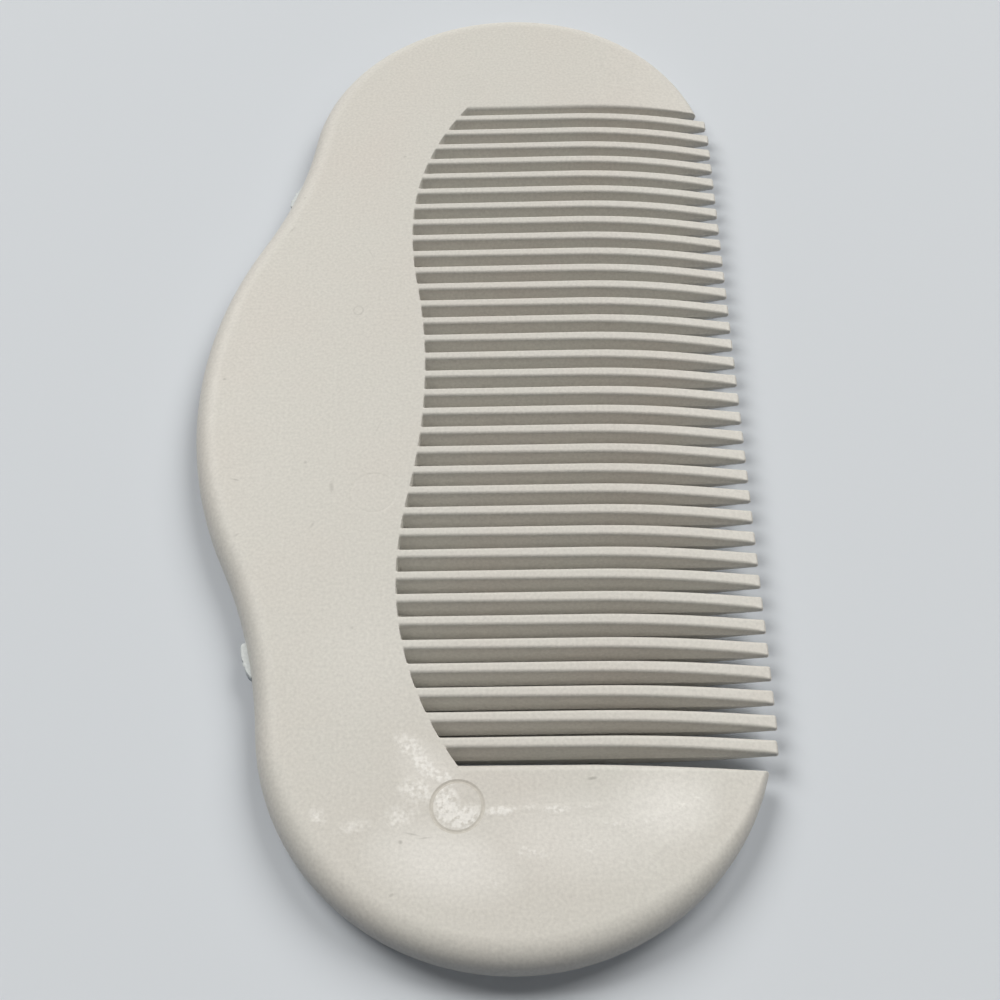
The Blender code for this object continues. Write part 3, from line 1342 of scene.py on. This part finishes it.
class GlossPatches(EffectGroup):
    """Places where the plastic took up the gloss of the mould, and a faint unevenness all over."""

    name = "gloss_patches"
    inputs = {"Dull": (Socket.VALUE, 0.5), "Glossy": (Socket.VALUE, 0.3)}
    outputs = {"Roughness": Socket.VALUE}
    uneven_range = (0.45, 0.75)  # the noise's value where the gloss starts and where it is full
    uneven_share = 0.4  # how glossy it gets outside the named places

    def fill(self, board: NodeBoard, given: bpy.types.Node) -> dict[str, Wire]:
        """Mixes the two levels of roughness by the named places and a faint noise.

        Args:
            board: Board of the group's tree.
            given: The group's input node.

        Returns:
            The socket that feeds each output.
        """
        place = board.add("TexCoord").outputs["Object"]
        marks = board.patches(place, FLOW_MARKS_AND_GLINTS + GLOSSY_AND_SHEEN_PLACES)
        ups = board.ramp(board.noise(place, Texture.UNEVEN), *self.uneven_range)
        uneven = board.times(ups, self.uneven_share)
        share = board.math("MAXIMUM", marks, uneven)
        return {"Roughness": board.mix(Socket.VALUE, share, given.outputs["Dull"], given.outputs["Glossy"])}


class TintAndPaintedHighlights(EffectGroup):
    """Colour of handled white plastic: faint clouds, fine mottling and grey scratches, with painted
    highlights laid in: pale glints on the flow marks and a pale sheen on the glossy places.
    """

    name = "tint_and_painted_highlights"
    inputs = {
        "Clean": (Socket.COLOUR, (1.0, 1.0, 1.0, 1.0)),
        "Yellowed": (Socket.COLOUR, (1.0, 1.0, 1.0, 1.0)),
        "Pale": (Socket.COLOUR, (1.0, 1.0, 1.0, 1.0)),
        "Speck": (Socket.COLOUR, (0.2, 0.2, 0.2, 1.0)),
        "Marks": (Socket.VALUE, 1.0),
        "Mottling": (Socket.VALUE, 1.0),
    }
    outputs = {"Color": Socket.COLOUR}
    cloud_range = (0.42, 0.78)  # the noise's value where the yellowing starts and where it is full
    break_gain = 4.8  # how sharply the noise breaks the painted glints up
    break_loss = 1.45  # how much of them it takes away
    painted_glint_range = (0.10, 1.25)  # a broken mark's strength where its painted glint starts and where it is brightest
    painted_sheen_share = 0.6  # how pale the painted sheen makes the glossy places
    mottling_share = 0.32  # how far the fine mottling changes the colour

    def fill(self, board: NodeBoard, given: bpy.types.Node) -> dict[str, Wire]:
        """Mixes the clean colour with the yellowed one by noise, and lays over both the painted glints and
        painted sheen, paler, and the scratches, greyer.

        Args:
            board: Board of the group's tree.
            given: The group's input node.

        Returns:
            The socket that feeds each output.
        """
        place = board.add("TexCoord").outputs["Object"]
        clouds = board.ramp(board.noise(place, Texture.CLOUDS), *self.cloud_range)
        tinted = board.mix(Socket.COLOUR, clouds, given.outputs["Clean"], given.outputs["Yellowed"])
        gaps = board.times(board.noise(place, Texture.BROKEN), self.break_gain)
        broken = board.math("SUBTRACT", gaps, self.break_loss)
        # Painted glints: broken pale flecks laid into the colour on the flow marks, standing in for
        # highlights.
        painted_glints = board.ramp(board.times(board.patches(place, FLOW_MARKS_AND_GLINTS), broken), *self.painted_glint_range)
        # Painted sheen: the glossy places are laid paler into the colour, standing in for the lamps'
        # highlight there.
        painted_sheen = board.times(board.patches(place, GLOSSY_AND_SHEEN_PLACES), self.painted_sheen_share)
        pale = board.times(board.math("MAXIMUM", painted_glints, painted_sheen), given.outputs["Marks"])
        lit = board.mix(Socket.COLOUR, pale, tinted, given.outputs["Pale"])
        wear = board.times(board.patches(place, WEAR_MARKS), given.outputs["Marks"])
        worn = board.mix(Socket.COLOUR, wear, lit, given.outputs["Speck"])
        fine = board.math("SUBTRACT", board.noise(place, Texture.MOTTLING), NOISE_MEAN)
        uneven = board.times(board.times(fine, self.mottling_share), given.outputs["Mottling"])
        mottling = board.math("ADD", uneven, 1.0)
        return {"Color": board.mix(Socket.COLOUR, 1.0, worn, mottling, blend="MULTIPLY")}


@dataclass(frozen=True)
class Effects:
    """The effects that the finishes share."""

    grain: MouldGrain
    gloss: GlossPatches
    tint: TintAndPaintedHighlights


@dataclass(frozen=True)
class Plastic:
    """A finish of white moulded plastic.

    Attributes:
        name: Name of the material.
        clean: Colour of clean plastic.
        yellowed: Colour where it has aged or been handled.
        dull: Roughness of its dull parts.
        glossy: Roughness of its glossy places.
        grain: Strength of the mould's grain.
        waves: Strength of the slow waves.
        marks: Strength of the flow marks' ripples and painted glints, of the painted sheen, and of the
            scratches.
        mottling: Strength of the fine mottling.
        bump: Depth of the relief, in metres.
        pale: Colour of the painted glints on the flow marks and of the painted sheen on the glossy places.
        speck: Colour of the scratches.
        ior: Index of refraction.
    """

    name: str
    clean: tuple[float, float, float]
    yellowed: tuple[float, float, float]
    dull: float
    glossy: float
    grain: float = 1.0
    waves: float = 1.0
    marks: float = 1.0
    mottling: float = 1.0
    bump: float = 0.000010
    pale: tuple[float, float, float] = (0.88, 0.865, 0.84)
    speck: tuple[float, float, float] = (0.25, 0.24, 0.22)
    ior: float = 1.49

    def material(self, effects: Effects) -> bpy.types.Material:
        """Builds the material.

        Args:
            effects: The shared effects.

        Returns:
            The material.
        """
        material = bpy.data.materials.new(self.name)
        material.use_nodes = True
        board = NodeBoard(material.node_tree)
        shader = material.node_tree.nodes["Principled BSDF"]
        colours = {"Clean": self.clean, "Yellowed": self.yellowed, "Pale": self.pale, "Speck": self.speck}
        opaque = {name: (*colour, 1.0) for name, colour in colours.items()}
        tint = effects.tint.place(board, Marks=self.marks, Mottling=self.mottling, **opaque)
        gloss = effects.gloss.place(board, Dull=self.dull, Glossy=self.glossy)
        grain = effects.grain.place(board, Grain=self.grain, Waves=self.waves, Ripples=self.marks)
        depth = {"Strength": 1.0, "Distance": self.bump, "Height": grain.outputs["Height"]}
        relief = board.add("Bump", depth)
        for name, socket in (
            ("Base Color", tint.outputs["Color"]),
            ("Roughness", gloss.outputs["Roughness"]),
            ("Normal", relief.outputs["Normal"]),
        ):
            material.node_tree.links.new(socket, shader.inputs[name])
        shader.inputs["IOR"].default_value = self.ior
        return material


MOULDED = Plastic("moulded_plastic", (0.650, 0.636, 0.598), (0.650, 0.622, 0.583), 0.50, 0.34)
PIN_FLAT = Plastic("pin_flat_plastic", (0.650, 0.636, 0.598), (0.650, 0.622, 0.583), 0.42, 0.22)
# Darker copy of the moulded plastic for the groove round the near outer pin mark: painted shade in the
# recess.
PIN_GROOVE_SHADE = Plastic("pin_groove_painted_shade", (0.58, 0.56, 0.515), (0.55, 0.52, 0.475), 0.55, 0.45, marks=0.0)
TORN = Plastic("torn_plastic", (0.64, 0.68, 0.69), (0.60, 0.65, 0.66), 0.58, 0.50, grain=3.0, marks=0.0)


# Studio.


@dataclass(frozen=True)
class Softbox:
    """A soft lamp.

    Attributes:
        name: Name of the lamp.
        place: Where it stands, in metres.
        power: Its power, in watts.
        size: Its width, in metres.
        colour: Its colour, a little warm.
    """

    name: str
    place: tuple[float, float, float]
    power: float
    size: float = 1.85
    colour: tuple[float, float, float] = (1.0, 0.98, 0.93)

    def build(self) -> None:
        """Adds the lamp, turned to the comb."""
        lamp = bpy.data.lights.new(self.name, "AREA")
        lamp.shape = "DISK"
        lamp.size = self.size
        lamp.energy = self.power
        lamp.color = self.colour
        obj = in_scene(self.name, lamp)
        obj.location = self.place
        obj.rotation_euler = Vector(self.place).to_track_quat("Z", "Y").to_euler()


LAMPS = (
    Softbox("left_light", (-1.50, 1.50, 2.12), power=59.5),
    Softbox("right_light", (1.50, 1.50, 2.12), power=49.0),
    Softbox("near_light", (1.50, -1.50, 2.12), power=10.0),
)


@dataclass(frozen=True)
class PhotoCamera:
    """The camera at the photograph's viewing angle.

    Attributes:
        place: Where it stands, in metres.
        turn: Its rotation about X, Y and Z, in degrees.
        focal_share: Focal length as a share of the image's width.
        near_limit: Nearest distance that it sees, in metres.
    """

    place: tuple[float, float, float] = (0.00574, -0.07125, 0.0991)
    turn: tuple[float, float, float] = (31.683, 1.574, 0.057)
    focal_share: float = 1.3
    near_limit: float = 0.005

    def build(self) -> None:
        """Adds the camera and makes it the scene's."""
        camera = bpy.data.cameras.new("photo_camera")
        camera.sensor_fit = "HORIZONTAL"
        camera.lens = camera.sensor_width * self.focal_share
        camera.clip_start = self.near_limit
        obj = in_scene("photo_camera", camera)
        obj.location = self.place
        obj.rotation_euler = [math.radians(angle) for angle in self.turn]
        bpy.context.scene.camera = obj


@dataclass(frozen=True)
class Studio:
    """A pale floor, a pale surround and soft lamps.

    Attributes:
        lamps: The lamps.
        floor_side: Side of the floor, in metres.
        seen: Colour of the floor to the camera.
        bounced: Colour of the floor to the light that it throws back.
        roughness: Roughness of the floor.
        specular: Strength of its reflections.
        air: Strength of the light from all round.
    """

    lamps: tuple[Softbox, ...]
    floor_side: float = 3.0
    seen: tuple[float, float, float] = (0.70, 0.74, 0.80)
    bounced: tuple[float, float, float] = (0.30, 0.34, 0.41)
    roughness: float = 0.9
    specular: float = 0.2
    air: float = 0.02

    def seen_directly(self, board: NodeBoard) -> Wire:
        """Adds a mask of what the camera sees, also by reflection or through glass.

        Args:
            board: Board to add to.

        Returns:
            The mask, 1 for what is seen and 0 for the light that is thrown back.
        """
        path = board.add("LightPath").outputs
        first = board.math("MAXIMUM", path["Is Camera Ray"], path["Is Glossy Ray"])
        return board.math("MAXIMUM", first, path["Is Transmission Ray"])

    def floor(self) -> None:
        """Adds the floor."""
        bm = bmesh.new()
        bmesh.ops.create_grid(bm, x_segments=1, y_segments=1, size=self.floor_side / 2)
        mesh = bpy.data.meshes.new("floor")
        bm.to_mesh(mesh)
        bm.free()
        material = bpy.data.materials.new("pale_floor")
        material.use_nodes = True
        board = NodeBoard(material.node_tree)
        shader = material.node_tree.nodes["Principled BSDF"]
        shader.inputs["Roughness"].default_value = self.roughness
        shader.inputs["Specular IOR Level"].default_value = self.specular
        colours = (*self.bounced, 1.0), (*self.seen, 1.0)
        colour = board.mix(Socket.COLOUR, self.seen_directly(board), *colours)
        material.node_tree.links.new(colour, shader.inputs["Base Color"])
        mesh.materials.append(material)
        obj = in_scene("floor", mesh)

    def surround(self) -> None:
        """Lights the scene evenly from all round."""
        world = bpy.data.worlds.new("surround")
        world.use_nodes = True
        board = NodeBoard(world.node_tree)
        background = world.node_tree.nodes["Background"]
        strength = board.mix(Socket.VALUE, self.seen_directly(board), self.air, 1.0)
        world.node_tree.links.new(strength, background.inputs["Strength"])
        background.inputs["Color"].default_value = (1.0, 1.0, 1.0, 1.0)
        bpy.context.scene.world = world

    def build(self) -> None:
        """Adds the floor, the surround and the lamps."""
        self.floor()
        self.surround()
        for lamp in self.lamps:
            lamp.build()


# The comb.


@dataclass
class PocketComb:
    """The whole comb, sized from its CAD frame.

    Attributes:
        effects: The effects that the finishes share.
        tooth_length: Length of the teeth in the middle of the row.
        guard_lean: How far a guard's face leans back to the upper face.
        guard_gap: From an outermost tooth to its guard, at the parting plane, at the mean of both ends.
        lobe_radius: Radius of a lobe.
        lobe_setback: From the foremost reach of a lobe's circle to the tips.
        outer_setback: From a guard's upper edge to its pin mark.
        inner_setback: From the root line to an inner pin mark.
        inner_offset: From the middle of the row to the inner pin marks.
    """

    effects: Effects
    tooth_length: float = 28.65
    guard_lean: float = 0.20
    guard_gap: float = 0.53
    lobe_radius: float = 20.6
    lobe_setback: float = 0.25
    outer_setback: float = 3.3
    inner_setback: float = 3.1
    inner_offset: float = 11.8

    @property
    def teeth(self) -> list[str]:
        """Names of the CAD teeth, from the near end to the far end."""
        return sorted(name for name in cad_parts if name.startswith("tooth_"))

    def half(self, side: Side, guard_edge: float, outer_groove: float, inner_groove: float) -> HalfMoulding:
        """Works one half of the moulding out from the CAD boxes and the sizes above.

        Args:
            side: Which half.
            guard_edge: Radius of the upper edge of its guard's face.
            outer_groove: Depth of the groove round its outer pin mark.
            inner_groove: Depth of the groove round its inner one.

        Returns:
            The half.
        """
        low, high = millimetres("back")
        first, last = millimetres(self.teeth[0]), millimetres(self.teeth[-1])
        tip_x = max(millimetres(name)[1].x for name in self.teeth)
        section = Section(Crown((high.z - low.z) / 2, tip_x))
        shift = (first[0].y + last[1].y) / 2
        root = RootLine(tip_x - self.tooth_length, side.value * shift)
        guard_y = (last[1].y - first[0].y) / 2 + self.guard_gap
        guard = GuardFace(section, guard_y, self.guard_lean, guard_edge)
        guard_top = guard.y + guard.lean
        pitch = (last[0].y - first[0].y) / (len(self.teeth) - 1)
        row = ToothRow(section, root, len(self.teeth) // 2, pitch, guard)
        lobe = Vector((tip_x - self.lobe_setback - self.lobe_radius, high.y - self.lobe_radius))
        inner_y = root.middle + self.inner_offset
        outer_x = RootLine(root.crest_x, -shift).x(guard_top)
        marks = (
            PinMark(side, outer_x, guard_top + self.outer_setback, outer_groove, side is Side.NEAR),
            PinMark(side, root.x(inner_y) - self.inner_setback, inner_y, inner_groove),
        )
        return HalfMoulding(row, BackPlan(section, lobe, self.lobe_radius, low.x), marks)

    def dress(self, piece: bpy.types.Object, finishes: list[Plastic]) -> None:
        """Gives a piece its finishes and its body.

        Args:
            piece: The piece.
            finishes: Its finishes, in the order of its material slots.
        """
        for finish in finishes:
            known = bpy.data.materials.get(finish.name)
            piece.data.materials.append(known or finish.material(self.effects))
        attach(piece, "root")
        LOG.info("%s: %d faces", piece.name, len(piece.data.polygons))

    def build(self) -> None:
        """Builds and dresses the moulding and the two stubs."""
        near = self.half(Side.NEAR, guard_edge=0.60, outer_groove=0.07, inner_groove=0.03)
        far = self.half(Side.FAR, guard_edge=0.45, outer_groove=0.03, inner_groove=0.02)
        skin = Moulding(near, far).build()
        self.dress(skin, [MOULDED, PIN_FLAT, PIN_GROOVE_SHADE])
        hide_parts("back", *self.teeth)
        stubs = (
            GateStub(far.back, Side.NEAR, proud=0.53, step=0.12, place=0.591, fade=0.22, blunt=0.03),
            GateStub(far.back, Side.FAR, proud=0.30, step=0.10, place=0.525, fade=0.35, blunt=0.10),
        )
        for stub in stubs:
            self.dress(stub.build(), [TORN])


def main() -> None:
    """Builds the comb and its studio."""
    logging.basicConfig(level=logging.INFO, format="%(name)s: %(message)s")
    bpy.context.scene.view_settings.view_transform = "Standard"
    PhotoCamera().build()
    LOG.info("camera placed")
    PocketComb(Effects(MouldGrain(), GlossPatches(), TintAndPaintedHighlights())).build()
    Studio(LAMPS).build()
    LOG.info("studio lit by %d lamps", len(LAMPS))


if __name__ == "__main__":
    main()
